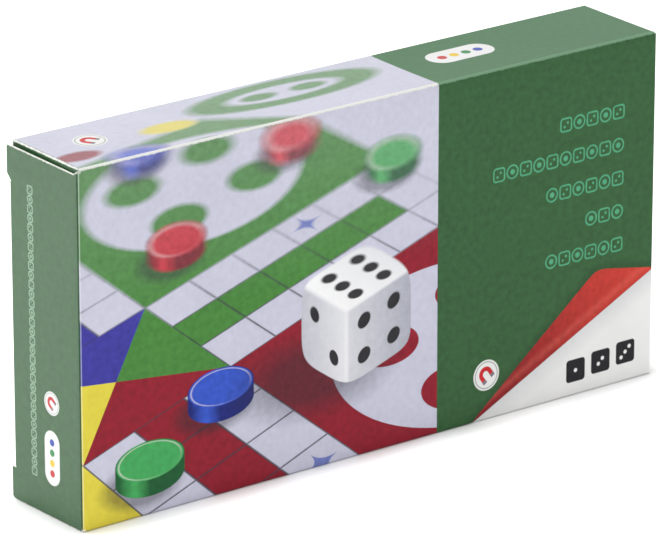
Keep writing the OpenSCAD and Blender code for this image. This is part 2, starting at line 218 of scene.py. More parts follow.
# %% [markdown]
# ## The sleeve: front, top, back and bottom
#
# The four long panels are one strip of board round the case, with folds 1.1 millimetres in outside radius.
# The cross-section of a wall is a straight part with a quarter circle at each end, as a function of the
# length v along the board. The panels bow in a little, as nothing presses them out.

# %% Front and back walls with their folds
SLEEVE_HALF = 124.0
TOP_START = HEIGHT - FOLD + FOLD * math.pi / 2


def wall(name, side, bow, materials, cad):
    """A wall in the plane y = side * HALF_DEPTH.

    With c = v held between the two folds and f = (v - c) / FOLD, a point lies at
    y = side * (HALF_DEPTH - FOLD + (FOLD - depth) cos f - sink), z = c + (FOLD - depth) sin f.
    """
    arc = FOLD * math.pi / 2
    v = steps(FOLD - arc, 8, FOLD, 26, HEIGHT - FOLD, 8, TOP_START)[:, None]
    x = np.linspace(-SLEEVE_HALF, SLEEVE_HALF, 61)[None, :]
    c = np.clip(v, FOLD, HEIGHT - FOLD)
    f = (v - c) / FOLD
    up = (v - HEIGHT / 2) / (HEIGHT / 2 - FOLD)
    sink = bow * (1 - (x / SLEEVE_HALF) ** 2) * np.clip(1 - up**2, 0, 1)
    grids = []
    for depth in (0.0, BOARD):
        y = side * (HALF_DEPTH - FOLD + (FOLD - depth) * np.cos(f) - sink)
        grids.append(grid_of(x, y, c + (FOLD - depth) * np.sin(f)))
    return board_piece(name, *grids, (x + HALF_LENGTH, v), materials, "carton", [cad])


# %% Top and bottom panels
FLAT_HALF = 123.5


def flat_panel(name, level, outward, bow, materials, cad):
    """A level panel between the long folds, z = level - outward * (depth + bow (1 - p^2) (1 - q^2)), with p
    and q for x and y as shares of half the length and half the width."""
    half_width = HALF_DEPTH - FOLD
    x = np.linspace(-FLAT_HALF, FLAT_HALF, 61)[None, :]
    y = np.linspace(-half_width, half_width, 17)[:, None]
    sink = bow * (1 - (x / FLAT_HALF) ** 2) * (1 - (y / half_width) ** 2)
    grids = [grid_of(x, y, level - outward * (depth + sink)) for depth in (0.0, BOARD)]
    sheet = (x + HALF_LENGTH, TOP_START + y + half_width)
    return board_piece(name, *grids, sheet, materials, "carton", [cad])


# %% [markdown]
# ## The end closures, their creases and their flaps
#
# Each end is closed by a panel that turns on a crease at the front corner, locks with two small tabs and
# slides a tuck flap in behind the back wall. Two dust flaps fold in above and below. A crease is a separate
# curved strip between its wall and its flap. The left end is worked out as if shut, then turned by the degree
# and a half that it stands ajar. The right end mirrors it, apart from the slope of its top edge.

# %% The outline of a closure
AJAR = 1.5
CREASE = (-124.7, -19.7)
BEND = 1.0
CLOSURE_FOOT = 0.4
TAB_Y = 20.55
FREE_Y = 18.41
TUCK_LOW, TUCK_HIGH = 12.4, 115.7
CLOSURE_HIGH = 127.7
CREASE_TOP = 129.6
SLIT = 0.5


def closure_top(y, near, free):
    """Height of the closure's top edge: CREASE_TOP at the crease, then a slope from near to free."""
    return np.interp(y, [CREASE[1], CREASE[1] + 2, TAB_Y], [CREASE_TOP, near, free])


def corner_cut(distance, radius):
    """How far a rounded corner of this radius pulls an edge back, at a distance from the corner."""
    gap = np.clip(radius - distance, 0, radius)
    return radius - np.sqrt(radius**2 - gap**2)


def mirrored(points, side):
    """Points of the left end, or for side = +1 of the right end."""
    return points * np.array([-side, 1, 1])


def ajar(x, y, z, side, ease=1.0):
    """A grid of a closure, turned about its crease by the ajar angle, at its end of the carton."""
    return mirrored(turned(grid_of(x, y, z), CREASE, AJAR * ease), side)


# %% The crease that a closure turns on
def closure_crease(side_name, side, top, materials):
    """A quarter circle of radius BEND round (-124, -19), turned by the ajar angle times the frame's own ease,
    so that it meets the wall at one end and the closure at the other."""
    t = np.linspace(0, 1, 13)[None, :]
    w = np.linspace(0, 1, 40)[:, None]
    angle = t * math.pi / 2
    grids = []
    for depth in (0.0, BOARD):
        x = -SLEEVE_HALF - (BEND - depth) * np.sin(angle)
        y = -HALF_DEPTH + BEND - (BEND - depth) * np.cos(angle)
        z = CLOSURE_FOOT + w * (closure_top(y, *top) - CLOSURE_FOOT)
        grids.append(ajar(x, y, z, side, smooth_step(t)))
    u = BEND - BEND * angle
    u = u if side < 0 else 2 * HALF_LENGTH - u
    piece = board_piece(side_name + "_closure_crease", *grids, (u, grids[0][..., 2]), materials, None)
    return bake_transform(piece)


# %% The closure panel
TAB_SLOPE = 2.0
TAB_CORNER = 1.0
JUMP = 0.01


def closure_panel(side_name, side, top, materials):
    """A panel ruled between its crease and its free outline. A row at height r runs from y = -19 to the free
    edge, and rows above the upper slit are stretched so that r = CLOSURE_HIGH meets the sloping top edge. At
    a slit the edge jumps between two rows JUMP apart, and the upper tab widens over TAB_SLOPE. The print is
    laid out by r, so its worn rim follows the top edge."""
    low_slit, high_slit = TUCK_LOW - SLIT, TUCK_HIGH + SLIT
    tab_rise = high_slit + TAB_SLOPE
    r = steps(CLOSURE_FOOT, 8, CLOSURE_FOOT + 1, 6, low_slit, 1, low_slit + JUMP, 24, high_slit - JUMP, 1,
              high_slit, 3, tab_rise, 4, CLOSURE_HIGH - 1.3, 8, CLOSURE_HIGH)[:, None]
    low_tab, high_tab = r <= low_slit, r >= high_slit
    free = np.where(low_tab | high_tab, TAB_Y, FREE_Y)
    free = free - np.where(low_tab, corner_cut(r - CLOSURE_FOOT, TAB_CORNER), 0)
    upper_cut = corner_cut(CLOSURE_HIGH - r, TAB_CORNER) + np.clip(tab_rise - r, 0, TAB_SLOPE)
    free = free - np.where(high_tab, upper_cut, 0)
    t = np.linspace(0, 1, 25)[None, :]
    y = -HALF_DEPTH + BEND + t * (free + HALF_DEPTH - BEND)
    stretch = (closure_top(y, *top) - high_slit) / (CLOSURE_HIGH - high_slit)
    z = np.where(r > high_slit, high_slit + (r - high_slit) * stretch, r)
    grids = [ajar(-HALF_LENGTH + depth, y, z, side) for depth in (0.0, BOARD)]
    name, body, sheet = side_name + "_closure_board", side_name + "_closure_body", (y + HALF_DEPTH, r)
    return board_piece(name, *grids, sheet, materials, body, [side_name + "_closure"])


# %% The tuck flap and its crease
TUCK_AXIS = (-124.7, 19.05)
TUCK_SLOPE = 14.0
TUCK_BEND = 0.8
TUCK_LENGTH = 13.0
CREASE_RADIUS = 0.3
TUCK_CORNER = 6.0
TUCK_PLACE = 45.0


def tuck_pieces(side_name, side, materials):
    """The fold of radius TUCK_BEND between the closure and its tuck flap, and the flap itself.

    The fold turns by 90 + 14 degrees about a centre TUCK_BEND inside both outer faces. The flap runs from
    there to its free edge, with corners rounded by TUCK_CORNER, and is printed from u = TUCK_PLACE on.
    """
    slope = math.radians(TUCK_SLOPE)
    normal = np.array([math.sin(slope), math.cos(slope)])
    along = np.array([math.cos(slope), -math.sin(slope)])
    axis = np.array(TUCK_AXIS)
    centre_x = -HALF_LENGTH + TUCK_BEND
    rise = CREASE_RADIUS - TUCK_BEND - normal[0] * (centre_x - axis[0])
    centre = np.array([centre_x, axis[1] + rise / normal[1]])
    t = np.linspace(0, 1, 13)[None, :]
    z = np.linspace(TUCK_LOW, TUCK_HIGH, 40)[:, None]
    turn = t * (math.pi / 2 + slope)
    grids = []
    for depth in (0.0, BOARD):
        x = centre[0] - (TUCK_BEND - depth) * np.cos(turn)
        y = centre[1] + (TUCK_BEND - depth) * np.sin(turn)
        grids.append(ajar(x, y, z, side))
    u = 2 * HALF_DEPTH + TUCK_BEND * turn
    fold = board_piece(side_name + "_tuck_crease", *grids, (u, z), materials, None)
    for place in ((-HALF_LENGTH, centre[1]), centre + TUCK_BEND * normal):
        tuple(ajar(*place, 0.0, side) * 0.001)
    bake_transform(fold)

    w = steps(TUCK_LOW, 10, TUCK_LOW + TUCK_CORNER, 20, TUCK_HIGH - TUCK_CORNER, 10, TUCK_HIGH)[:, None]
    start = float((centre - axis) @ along)
    tip = TUCK_LENGTH - corner_cut(np.minimum(w - TUCK_LOW, TUCK_HIGH - w), TUCK_CORNER)
    s = start + np.linspace(0, 1, 15)[None, :] * (tip - start)
    grids = []
    for depth in (0.0, BOARD):
        away = CREASE_RADIUS - depth
        x, y = (axis[k] + s * along[k] + away * normal[k] for k in range(2))
        grids.append(ajar(x, y, w, side))
    name, body, sheet = side_name + "_tuck_flap_board", side_name + "_tuck_body", (s + TUCK_PLACE, w)
    board_piece(name, *grids, sheet, materials, body, [side_name + "_tuck_flap"])


# %% The dust flaps and their creases
DUST_CREASE = 129.7
DUST_BEND = 0.7
DUST_START, DUST_END, DUST_RELIEF = -18.7, 18.8, 15.45
DUST_TIP = DUST_CREASE - 32
DUST_CORNER = 3.0
LOWER_SHOULDER = HEIGHT - 11.9


def dust_pieces(side_name, side, level_name, shoulder, fold_look, materials):
    """A dust flap is worked out at the top left: its fold is a quarter circle, and a row at height z runs
    from y = DUST_START + (DUST_CREASE - z) / 2 to the rear edge, which steps in below the shoulder."""
    flap = f"{side_name}_{level_name}_dust"
    body = flap + "_body"

    def placed(grid):
        """The grid at its own end, upside down for a lower flap."""
        over = grid_of(grid[..., 0], grid[..., 1], HEIGHT - grid[..., 2])
        return mirrored(grid if level_name == "top" else over, side)

    t = np.linspace(0, 1, 11)[:, None]
    y = np.linspace(DUST_START, DUST_END, 30)[None, :]
    centre = (-FLAT_HALF, HEIGHT - DUST_BEND)
    turn = t * math.pi / 2
    grids = []
    for depth in (0.0, BOARD):
        x = centre[0] - (DUST_BEND - depth) * np.sin(turn)
        z = centre[1] + (DUST_BEND - depth) * np.cos(turn)
        grids.append(placed(grid_of(x, y, z)))
    u = HALF_LENGTH - FLAT_HALF - DUST_BEND * turn
    fold = board_piece(flap + "_crease", *grids, (u, TOP_START + y + HALF_DEPTH), fold_look, None)
    start = placed(np.array([-FLAT_HALF, 0, HEIGHT])) * 0.001
    end = placed(np.array([-FLAT_HALF - DUST_BEND, 0, HEIGHT - DUST_BEND])) * 0.001
    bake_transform(fold)

    z = steps(centre[1], 12, shoulder, 1, shoulder - JUMP, 14, DUST_TIP + DUST_CORNER, 8, DUST_TIP)[:, None]
    cut = corner_cut(z - DUST_TIP, DUST_CORNER)
    front = DUST_START + (DUST_CREASE - z) / 2 + cut
    rear = np.where(z >= shoulder, DUST_END, DUST_RELIEF) - cut
    y = front + np.linspace(0, 1, 21)[None, :] * (rear - front)
    outer_x = -FLAT_HALF - DUST_BEND
    grids = [placed(grid_of(outer_x + depth, y, z)) for depth in (0.0, BOARD)]
    sheet = (outer_x - (HEIGHT - z), y + HALF_DEPTH)
    board_piece(flap + "_board", *grids, sheet, materials, body, [flap + "_flap"])


# %% [markdown]
# ## Drawing a print with maths
#
# The print could be a picture, but here every shape is worked out in the material. A field is a number at
# each point of the surface, such as a distance to an outline that is negative inside it. Arithmetic on fields
# adds Math nodes. A distance becomes a soft-edged cover from 0 to 1, and covers lay one ink over another, as
# a printer does.

# %% Fields, covers and inks
class Field:
    """A number at every point of a surface, held by a socket. Arithmetic on fields adds Math nodes."""

    def __init__(self, socket):
        self.socket = socket

    def math(self, operation, *others, clamp=False):
        """A Math node with this field as its first input."""
        return math_node(operation, (self, *others), clamp)

    def __add__(self, other):
        return self.math("ADD", other)

    def __sub__(self, other):
        return self.math("SUBTRACT", other)

    def __rsub__(self, other):
        return math_node("SUBTRACT", (other, self))

    def __mul__(self, other):
        return self.math("MULTIPLY", other)

    def __truediv__(self, other):
        return self.math("DIVIDE", other)

    def __rtruediv__(self, other):
        return math_node("DIVIDE", (other, self))

    def __neg__(self):
        return self.math("MULTIPLY", -1.0)

    def size(self):
        """The value without its sign."""
        return self.math("ABSOLUTE")

    def least(self, other):
        """The smaller of two values, which joins two shapes given by distances."""
        return self.math("MINIMUM", other)

    def most(self, other):
        """The larger of two values, which keeps what two shapes share."""
        return self.math("MAXIMUM", other)

    def between(self, bottom, top):
        """The value held between two limits."""
        return self.most(bottom).least(top)

    def part(self):
        """What is left above the whole number below."""
        return self.math("FRACT")

    def whole(self):
        """The whole number below."""
        return self.math("FLOOR")


def feed(tree, item, entry):
    """Gives a node's input a field, a number or a colour."""
    if isinstance(item, Field):
        tree.links.new(item.socket, entry)
    else:
        entry.default_value = (*item, 1) if isinstance(item, tuple) else item


def math_node(operation, inputs, clamp=False):
    """One Math node, in the tree of the first field among the inputs."""
    tree = next(item for item in inputs if isinstance(item, Field)).socket.id_data
    node = tree.nodes.new("ShaderNodeMath")
    node.operation, node.use_clamp = operation, clamp
    for entry, item in zip(node.inputs, inputs):
        feed(tree, item, entry)
    return Field(node.outputs[0])


def lay(under, over, amount):
    """The colour under, with the colour over laid on it by an amount from 0 to 1."""
    tree = amount.socket.id_data
    node = tree.nodes.new("ShaderNodeMix")
    node.data_type = "RGBA"
    for place, item in ((0, amount), (6, under), (7, over)):
        feed(tree, item, node.inputs[place])
    return Field(node.outputs[2])


def ink(red, green, blue):
    """A colour as it looks on a screen, from 0 to 255, as the light that it sends back."""
    value = np.array([red, green, blue]) / 255
    return tuple(np.where(value > 0.04045, ((value + 0.055) / 1.055) ** 2.4, value / 12.92).tolist())


def cover(distance, slope):
    """1 inside an outline and 0 outside, over an edge 1 / slope wide: 0.5 - distance slope, held to 0..1."""
    if isinstance(slope, Field):
        return math_node("SUBTRACT", (0.5, distance * slope), True)
    return distance.math("MULTIPLY_ADD", -slope, 0.5, clamp=True)


def reach(x, y):
    """The length of (x, y)."""
    return math_node("SQRT", (x.math("MULTIPLY_ADD", x, y * y),))


def blend_sum(x, a, y, b, c):
    """a x + b y + c."""
    return x.math("MULTIPLY_ADD", a, y.math("MULTIPLY_ADD", b, c))


def half_plane(u, v, start, end):
    """Distance from the straight line from start to end, negative on its left."""
    length = math.dist(start, end)
    nx, ny = (end[1] - start[1]) / length, -(end[0] - start[0]) / length
    return blend_sum(u, nx, v, ny, -nx * start[0] - ny * start[1])


# %% [markdown]
# ## A ludo board, as a print
#
# The traditional board has fifteen cells each way: a cross with arms three cells wide, a home of four
# triangles in its middle, and a yard for each colour in the corners. Absolute values fold the plane, so one
# arm draws all four. The same board is on the carton, seen from low down, and on the play faces inside.

# %% The traditional board
WHITE, YELLOW, RED = ink(195, 195, 212), ink(215, 200, 68), ink(138, 26, 42)
GREEN, BLUE, LINE = ink(70, 128, 57), ink(60, 57, 151), ink(60, 56, 68)
PLAYERS = (YELLOW, RED, BLUE, GREEN)


def four_ways(second, later):
    """The players' colours: second chooses within both pairs, and later chooses the second pair."""
    return lay(lay(PLAYERS[0], PLAYERS[1], second), lay(PLAYERS[2], PLAYERS[3], second), later)


def ludo_board(a, b, slope):
    """Colour at a and b cells from the middle; slope is one over the width of an edge, in cells."""
    out_a, out_b = a.size(), b.size()
    near, far = out_a.least(out_b), out_a.most(out_b)
    yard = four_ways(cover(-a, slope), cover(-b, slope))
    x, y = out_a - 4.5, out_b - 4.5
    spot = cover(reach(x.size() - 0.95, y.size() - 0.95) - 0.58, slope)
    ring = cover(reach(x, y) - 2.35, slope) * (1.0 - spot)
    colour = lay(yard, WHITE, ring)
    colour = lay(colour, WHITE, cover((near - 1.5).least(7.5 - far), slope))
    arm = four_ways(cover(b - a, slope), cover(-(a + b), slope))
    colour = lay(colour, arm, cover((near - 0.5).most(far - 6.5).least(far - 1.5), slope))
    line = (a.part() - 0.5).size().least((b.part() - 0.5).size()) - 0.02
    thin = cover(line, slope) * cover((near - 1.51).most(far - 7.52).most(1.49 - far), slope)
    x, y = near - 1.0, far - 5.0
    star = cover((x.size().math("SQRT") + y.size().math("SQRT")) * 0.45 - 0.27, slope)
    colour = lay(colour, ink(74, 96, 178), star * 0.8)
    strength = slope * 0.045
    strength = strength.least(0.8) if isinstance(strength, Field) else min(strength, 0.8)
    return lay(colour, LINE, thin * strength)


# %% The board seen from low down, out of focus towards the back
HORIZON, EYE, LENS_REACH = 450.0, 17.3, 750.0
TURN = math.radians(33)
SEEN_FROM = (60.0, 36.0)
BOARD_AT = (1.0, -2.1)


def seen_board(u, v):
    """Where a point of the print lies on the board that it shows, in cells, and the sharpness there.

    With s = HORIZON - v, a level plane seen in perspective has x = (u - u0) EYE / s and
    y = EYE LENS_REACH (1 / s - 1 / s0). It is then turned, and moved to the part of the board that is shown.
    """
    s = HORIZON - v
    scale = EYE / s
    x = (u - SEEN_FROM[0]) * scale
    y = scale.math("MULTIPLY_ADD", LENS_REACH, -EYE * LENS_REACH / (HORIZON - SEEN_FROM[1]))
    a = blend_sum(x, math.cos(TURN), y, math.sin(TURN), BOARD_AT[0])
    b = blend_sum(x, -math.sin(TURN), y, math.cos(TURN), BOARD_AT[1])
    haze = v.math("MULTIPLY_ADD", 0.01, -0.42).between(0.0, 1.2)
    blur = haze.math("MULTIPLY_ADD", haze * 8.0, 0.35)
    return a, b, 1.0 / (blur * scale), 1.0 / blur


# %% A counter and a die on it
LIE, DIAGONAL = 0.5, 0.707
SHADOW, PIP_DARK = ink(40, 38, 46), ink(44, 42, 46)


def seen_counter(under, u, v, sharp, place, radius, bright, deep):
    """A short cylinder seen from above. With x = (u - u0) / r and y = (v - v0) / (LIE r), its outline is all
    within 1 of the upright line from y = 0 to y = tall, and its top the circle round (0, tall)."""
    x = (u - place[0]) * (1 / radius)
    y = (v - place[1]) * (1 / (radius * LIE))
    tall, edge = 0.8, sharp * (radius * LIE * 1.6)
    shade = cover(reach(x + 0.25, y + 0.35) - 1.12, 2.2)
    under = lay(under, SHADOW, shade * 0.55)
    side = lay(ink(*deep), ink(*bright), cover((x + 0.45).size() - 0.25, 2.5))
    body = lay(under, side, cover(reach(x, y - y.between(0.0, tall)) - 1.0, edge))
    top = reach(x, y - tall)
    body = lay(body, ink(*bright), cover(top - 0.97, edge))
    rim = cover((top - 0.9).size() - 0.025, edge) * cover(x - y, 1.0)
    return lay(body, ink(235, 225, 225), rim * 0.45)


DIE_NEAR = (112.0, 27.0)
DIE_RIGHT, DIE_LEFT, DIE_UP = (28.0, 9.7), (-19.5, 14.0), 28.0


def pips(x, y, edge):
    """The cover of a round pip at x = y = 0. Folded x and y draw several at once."""
    return cover(reach(x, y) - 0.1, edge)


def seen_die(under, u, v, sharp):
    """A cube seen from above: six half planes overlap in its outline, and each face has its own coordinates s
    and t from 0 to 1, which place its pips."""
    x, y = u - DIE_NEAR[0], v - DIE_NEAR[1]
    shade = cover(reach((x + 14.0) * 0.028, (y - 8.0) * 0.06) - 0.8, 1.6)
    under = lay(under, SHADOW, shade * 0.6)
    corners = [(0, 0), DIE_RIGHT, (DIE_RIGHT[0], DIE_RIGHT[1] + DIE_UP),
               (DIE_RIGHT[0] + DIE_LEFT[0], DIE_RIGHT[1] + DIE_LEFT[1] + DIE_UP),
               (DIE_LEFT[0], DIE_LEFT[1] + DIE_UP), DIE_LEFT]
    outline = None
    for start, end in zip(corners, corners[1:] + corners[:1]):
        side = half_plane(x, y, start, end)
        outline = side if outline is None else outline.math("SMOOTH_MAX", side, 9.0)
    edge = sharp * 22.0
    right_s = x * (1 / DIE_RIGHT[0])
    right_t = blend_sum(y, 1 / DIE_UP, right_s, -DIE_RIGHT[1] / DIE_UP, 0.0)
    left_s = x * (1 / DIE_LEFT[0])
    left_t = blend_sum(y, 1 / DIE_UP, left_s, -DIE_LEFT[1] / DIE_UP, 0.0)
    whole = DIE_RIGHT[0] * DIE_LEFT[1] - DIE_RIGHT[1] * DIE_LEFT[0]
    top_s = blend_sum(x, DIE_LEFT[1] / whole, y - DIE_UP, -DIE_LEFT[0] / whole, 0.0)
    top_t = blend_sum(x, -DIE_RIGHT[1] / whole, y - DIE_UP, DIE_RIGHT[0] / whole, 0.0)
    left = lay(ink(222, 222, 226), ink(186, 187, 196), left_s)
    right = lay(ink(206, 206, 212), ink(166, 168, 180), right_s)
    slope, back = left_s - 0.5 + left_t - 0.5, left_s - left_t
    left = lay(left, PIP_DARK, pips(slope.size() * DIAGONAL - 0.3, back * DIAGONAL, edge))
    right = lay(right, PIP_DARK, pips((right_s - 0.5).size() - 0.23, (right_t - 0.5).size() - 0.23, edge))
    top = lay(ink(240, 240, 240), ink(220, 221, 224), top_s)
    row = (top_t - 0.5).size()
    top = lay(top, ink(52, 50, 54), pips((top_s - 0.5).size() - 0.22, row.least((row - 0.29).size()), edge))
    inner = top_s.least(top_t)
    faces = lay(lay(left, right, cover(-x, 0.6)), top, cover(-inner, 16.0))
    ridge = cover(inner.size() - 0.02, 12.0).most(cover(x.size() - 0.4, 0.5) * cover(inner, 16.0))
    faces = lay(faces, ink(246, 246, 248), ridge * 0.6)
    return lay(under, faces, cover(outline, sharp))


def paled_by_haze_and_light(colour, v):
    """The colour made paler from v = 70 upwards and on over the top panel: partly the picture's own haze,
    partly painted light.
    """
    return lay(colour, ink(214, 216, 222), v.math("MULTIPLY_ADD", 0.002, -0.14, clamp=True))


def game_picture(u, v):
    """The whole picture: the board, six counters, some sharp and some blurred, and the die."""
    a, b, slope, sharp = seen_board(u, v)
    colour = ludo_board(a, b, slope)
    for place, radius, bright, deep in COUNTERS:
        colour = seen_counter(colour, u, v, sharp, place, radius, bright, deep)
    return paled_by_haze_and_light(seen_die(colour, u, v, sharp), v)


COUNTERS = (
    ((26.0, 128.0), 10.5, (70, 90, 190), (38, 44, 120)),
    ((88.0, 120.0), 11.0, (196, 60, 74), (120, 30, 44)),
    ((132.0, 104.0), 11.5, (80, 160, 96), (36, 92, 56)),
    ((40.0, 92.0), 12.0, (188, 46, 60), (118, 24, 36)),
    ((58.0, 34.0), 14.0, (52, 84, 190), (26, 36, 112)),
    ((28.0, 14.0), 14.5, (66, 160, 88), (28, 86, 48)),
)

# %% [markdown]
# ## The rest of the print
#
# Beside the picture the carton is plain green. Where such a box carries words it has rows of small dice and
# counters in pale green, a round sign with a magnet and an oval with the four playing colours. In the lower
# corner a red sheet turns up over white. Each is a few distances, folded so that one drawing serves a row.

# %% Rows of small dice and counters
GREEN_FIELD, PALE = ink(52, 92, 54), ink(80, 162, 122)
# A darker green, painted shade for where the board turns away at a crease.
PAINTED_CREASE_SHADE = ink(42, 80, 46)
PAPER, DARK = ink(228, 228, 227), ink(30, 30, 34)


def small_die(x, y, half, line):
    """Distance to a die's rounded outline, or to its two pips on the diagonal."""
    flat = half * 0.55
    square = reach((x.size() - flat).most(0.0), (y.size() - flat).most(0.0)) - (half - flat)
    pip = reach(((x + y) * DIAGONAL).size() - half * 0.42, (x - y) * DIAGONAL) - half * 0.2
    return (square.size() - line).least(pip)


def small_counter(x, y, half, line):
    """Distance to a ring, or to the dot inside it."""
    middle = reach(x, y)
    return ((middle - half).size() - line).least(middle - half * 0.42)


def icon_rows(u, v, right, top, pitch, row_height, counts):
    """Rows that end at the right margin. whole() numbers the rows and the places in them, part() repeats the
    drawing, and counts says how many signs each row holds."""
    place, row = (u - right) * (-1 / pitch), (v - top) * (-1 / row_height)
    index, line = place.whole(), row.whole()
    x, y = (place.part() - 0.5) * -pitch, (row.part() - 0.5) * -row_height
    allowed = None
    for number, count in enumerate(counts):
        here = line.math("COMPARE", float(number), 0.5) * float(count)
        allowed = here if allowed is None else allowed + here
    inside = index.math("LESS_THAN", allowed - 0.5) * index.math("GREATER_THAN", -0.5)
    odd = ((index + line) * 0.5).part().math("GREATER_THAN", 0.25)
    half = pitch * 0.4
    die, ring = small_die(x, y, half, 0.3), small_counter(x, y, half, 0.3)
    return cover(lay_value(die, ring, odd), 3.0) * inside


def lay_value(under, over, amount):
    """One number or another: under + amount (over - under)."""
    return (over - under).math("MULTIPLY_ADD", amount, under)


# %% A round sign with a magnet, and an oval with the playing colours
SIGN_RED = ink(196, 36, 44)
DOTS = (SIGN_RED, ink(226, 190, 40), ink(40, 130, 70), ink(44, 70, 170))


def magnet_sign(under, u, v, place, radius, lean):
    """A white disc with a thin ring and a horseshoe: half a ring for y > 0, and two legs below it."""
    x0, y0 = (u - place[0]) * (1 / radius), (v - place[1]) * (1 / radius)
    middle = reach(x0, y0)
    slope = 3.0 * radius
    sign = lay(under, PAPER, cover(middle - 1.0, slope))
    sign = lay(sign, GREEN_FIELD, cover((middle - 0.86).size() - 0.03, slope) * 0.7)
    cos, sin = math.cos(math.radians(lean)), math.sin(math.radians(lean))
    x, y = blend_sum(x0, cos, y0, sin, 0.0), blend_sum(x0, -sin, y0, cos, -0.08)
    bow = (reach(x, y.most(0.0)) - 0.36).size() - 0.15
    horseshoe = cover(bow.most(-0.5 - y), slope)
    sign = lay(sign, SIGN_RED, horseshoe)
    return lay(sign, ink(120, 124, 130), horseshoe * cover(y + 0.28, slope))


def colour_oval(under, u, v, place, half_u, half_v):
    """A white bar with round ends, all within its half width of a line down its middle, and four dots."""
    x, y = (u - place[0]) * (1 / half_u), (v - place[1]) * (1 / half_v)
    width = min(half_u, half_v)
    past_u = (x.size() * half_u - (half_u - width)).most(0.0)
    past_v = (y.size() * half_v - (half_v - width)).most(0.0)
    oval = lay(under, PAPER, cover(reach(past_u, past_v) - width, 3.0))
    long_way, across, half = (x, y, half_u) if half_u > half_v else (y, x, half_v)
    shape = half / width
    for number, colour in enumerate(DOTS):
        dot = reach(long_way - (number - 1.5) * 0.38, across * (1 / shape)) - 0.13
        oval = lay(oval, colour, cover(dot, 3.0 * half))
    return oval


# %% The turned-up corner
FOLD_FROM, FOLD_TO, FLAP_TIP = (250.5, 41.0), (166.0, -0.6), (224.0, 46.0)
MARK_PITCH = 11.5


def turned_corner(under, u, v):
    """White paper below the fold line, a red flap between that line and its tip, and on the paper three black
    dice faces MARK_PITCH apart, which show 1, 2 and 3."""
    below = half_plane(u, v, FOLD_TO, FOLD_FROM)
    flap = half_plane(u, v, FLAP_TIP, FOLD_TO).math("SMOOTH_MAX", half_plane(u, v, FOLD_FROM, FLAP_TIP), 5.0)
    red_shape = flap.math("SMOOTH_MAX", below, 2.0)
    colour = lay(under, ink(18, 34, 22), cover(flap.most(below) - 1.0, 0.22) * 0.5)
    white = lay(PAPER, ink(196, 196, 198), cover(below - 1.5, 0.08))
    colour = lay(colour, white, cover(-below, 3.0))
    red = lay(ink(132, 26, 30), ink(202, 60, 48), blend_sum(u, 0.01, v, 0.01, -1.95))
    red = lay(red, ink(236, 120, 104), cover((below + 3.2).size() - 0.8, 0.35) * 0.25)
    colour = lay(colour, red, cover(red_shape, 3.0))
    place = (u - 209.0) * (1 / MARK_PITCH)
    index = place.whole()
    x, y = (place.part() - 0.5) * MARK_PITCH, v - (index * 0.9 + 9.5)
    square = reach((x.size() - 3.0).most(0.0), (y.size() - 3.0).most(0.0)) - 1.3
    pip = reach(((x + y) * DIAGONAL).size() - index * 1.3, (x - y) * DIAGONAL) - 0.75
    middle = (reach(x, y) - 0.75).most((index - 1.0).size() * -1.0 + 0.5)
    black = cover(square.most(-pip).most(-middle), 3.0)
    row = index.math("GREATER_THAN", -0.5) * index.math("LESS_THAN", 2.5)
    return lay(colour, DARK, black * row)


# %% The whole print of each panel
PICTURE_EDGE = 151.8
FAR_SPOTS = (
    ((104.0, 155.5), 40.0, 11.5, GREEN, 6.0), ((104.0, 155.5), 24.0, 6.4, WHITE, 4.0),
    ((93.5, 155.5), 7.5, 3.0, GREEN, 2.0), ((114.5, 155.5), 7.5, 3.0, GREEN, 2.0),
    ((50.0, 148.0), 11.0, 4.6, YELLOW, 2.4), ((8.0, 141.0), 9.0, 4.2, RED, 2.4),
)


def front_print(u, v):
    """The front wall: the picture, and on its right the green field with its signs."""
    field = lay(GREEN_FIELD, PALE, icon_rows(u, v, 235.9, 109.6, 6.0, 12.5, (5, 10, 6, 3, 6)))
    field = magnet_sign(field, u, v, (173.9, 17.0), 5.75, 35)
    field = turned_corner(field, u, v)
    colour = lay(game_picture(u, v), field, cover(PICTURE_EDGE - u, 4.0))
    # A pale line along the left fold, partly worn board and partly painted highlight.
    colour = lay(colour, ink(238, 240, 242), cover((u - 0.35).size() - 0.12, 3.0) * 0.5)
    # Left of u = 0.05, on the crease strip, the green darkens to the painted crease shade.
    return lay(colour, PAINTED_CREASE_SHADE, cover(u - 0.05, 5.0))


def far_spot(under, u, v, place, half_u, half_v, colour, blur):
    """An oval out of focus, with the distance |((u - u0) / a, (v - v0) / b)| - 1."""
    x, y = (u - place[0]) * (1 / half_u), (v - place[1]) * (1 / half_v)
    return lay(under, colour, cover(reach(x, y) - 1.0, blur))


def top_print(u, v):
    """The top panel: the picture runs on over the fold, out of focus, to a far yard of the board."""
    a, b, slope, sharp = seen_board(u, v)
    picture = ludo_board(a, b, slope)
    for place, half_u, half_v, colour, blur in FAR_SPOTS:
        picture = far_spot(picture, u, v, place, half_u, half_v, colour, blur)
    for place, radius, bright, deep in COUNTERS[:2]:
        picture = seen_counter(picture, u, v, sharp, place, radius, bright, deep)
    # Painted light: the top's green beside the picture is a lighter copy of GREEN_FIELD, where more light
    # falls.
    colour = lay(paled_by_haze_and_light(picture, v), ink(51, 107, 61), cover(PICTURE_EDGE - u, 4.0))
    colour = magnet_sign(colour, u, v, (20.9, 152.4), 6.0, 35)
    return colour_oval(colour, u, v, (178.8, 152.2), 13.9, 6.0)


